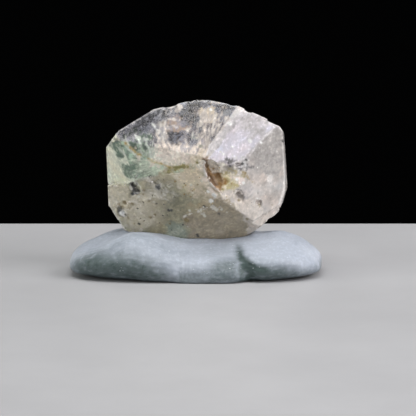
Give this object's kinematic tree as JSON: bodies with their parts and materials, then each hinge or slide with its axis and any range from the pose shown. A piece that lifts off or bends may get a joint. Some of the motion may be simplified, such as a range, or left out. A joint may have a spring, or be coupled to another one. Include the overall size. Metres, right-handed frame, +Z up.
{
  "type": "phenakite crystal specimen",
  "caption": "Clear lens-shaped rhombohedral crystal with a dissolved pit and chipped rim, standing on edge in a flattened lump of soft pale putty.",
  "frame": {"origin": "middle of the putty's flat underside, at the centre of the bounding box's floor", "axes": "+X to the viewer's right along the putty, +Y away from the viewer, +Z up"},
  "size_m": [0.0308, 0.0152, 0.0217],
  "materials": {
    "crystal": "clear with natural etched faces",
    "putty": "satin-matte soft putty"
  },
  "bodies": {
    "root": {"crystal": "crystal", "putty": "putty"}
  },
  "joints": []
}
